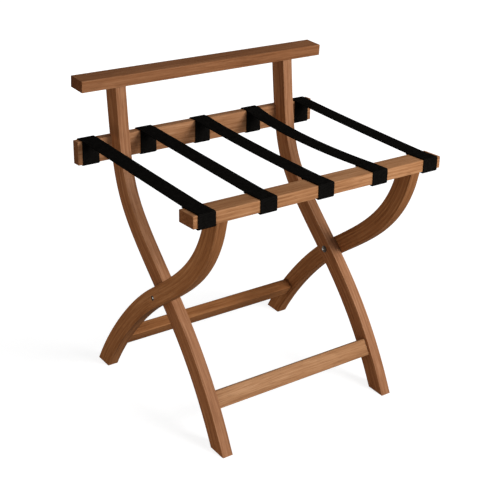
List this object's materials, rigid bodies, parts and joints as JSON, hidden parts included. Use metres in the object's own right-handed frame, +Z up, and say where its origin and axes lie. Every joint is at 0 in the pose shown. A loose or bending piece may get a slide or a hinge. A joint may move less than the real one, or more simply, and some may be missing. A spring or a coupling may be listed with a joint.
{
  "type": "folding luggage rack",
  "caption": "Folding wooden luggage rack: two crossed leg frames on pivot bolts, black webbing straps for a seat and a raised back rail.",
  "frame": {"origin": "on the floor, at the middle of the overall width and depth", "axes": "+Z up, +Y towards the wall behind the back rail, +X to the right of someone facing the rack"},
  "size_m": [0.6, 0.471, 0.6545],
  "materials": {
    "wood": "satin lacquer over mid-brown stain",
    "dowel_wood": "bare beech",
    "webbing": "woven black webbing, matte",
    "steel": "zinc-plated steel"
  },
  "bodies": {
    "back_frame": {"top_rail": "wood", "rear_rail": "wood", "front_stretcher": "wood", "long_leg_left": "wood", "long_leg_right": "wood", "strap_1": "webbing", "strap_2": "webbing", "strap_3": "webbing", "strap_4": "webbing", "strap_5": "webbing", "rear_tack_1": "steel", "rear_tack_2": "steel", "rear_tack_3": "steel", "rear_tack_4": "steel", "rear_tack_5": "steel", "top_rail_dowel_left_front": "dowel_wood", "top_rail_dowel_left_back": "dowel_wood", "top_rail_dowel_right_front": "dowel_wood", "top_rail_dowel_right_back": "dowel_wood", "front_stretcher_dowel_left_lower": "dowel_wood", "front_stretcher_dowel_left_upper": "dowel_wood", "front_stretcher_dowel_right_lower": "dowel_wood", "front_stretcher_dowel_right_upper": "dowel_wood", "rear_rail_screw_left_lower": "steel", "rear_rail_screw_left_upper": "steel", "rear_rail_screw_right_lower": "steel", "rear_rail_screw_right_upper": "steel", "pivot_bolt_left": "steel", "pivot_bolt_right": "steel", "head_washer_left": "steel", "head_washer_right": "steel", "spacer_washer_left": "steel", "spacer_washer_right": "steel", "pivot_nut_left": "steel", "pivot_nut_right": "steel"},
    "front_frame": {"front_rail": "wood", "rear_stretcher": "wood", "curved_leg_left": "wood", "curved_leg_right": "wood", "front_tack_1": "steel", "front_tack_2": "steel", "front_tack_3": "steel", "front_tack_4": "steel", "front_tack_5": "steel", "front_rail_dowel_left_front": "dowel_wood", "front_rail_dowel_left_back": "dowel_wood", "front_rail_dowel_right_front": "dowel_wood", "front_rail_dowel_right_back": "dowel_wood", "rear_stretcher_dowel_left_lower": "dowel_wood", "rear_stretcher_dowel_left_upper": "dowel_wood", "rear_stretcher_dowel_right_lower": "dowel_wood", "rear_stretcher_dowel_right_upper": "dowel_wood"}
  },
  "joints": [
    {"name": "fold", "type": "hinge", "parent": "back_frame", "child": "front_frame", "pos_m": [0, -0.003, 0.255], "axis": [-1, 0, 0], "range_deg": [0, 64], "deforming": ["strap_1", "strap_2", "strap_3", "strap_4", "strap_5"]}
  ]
}
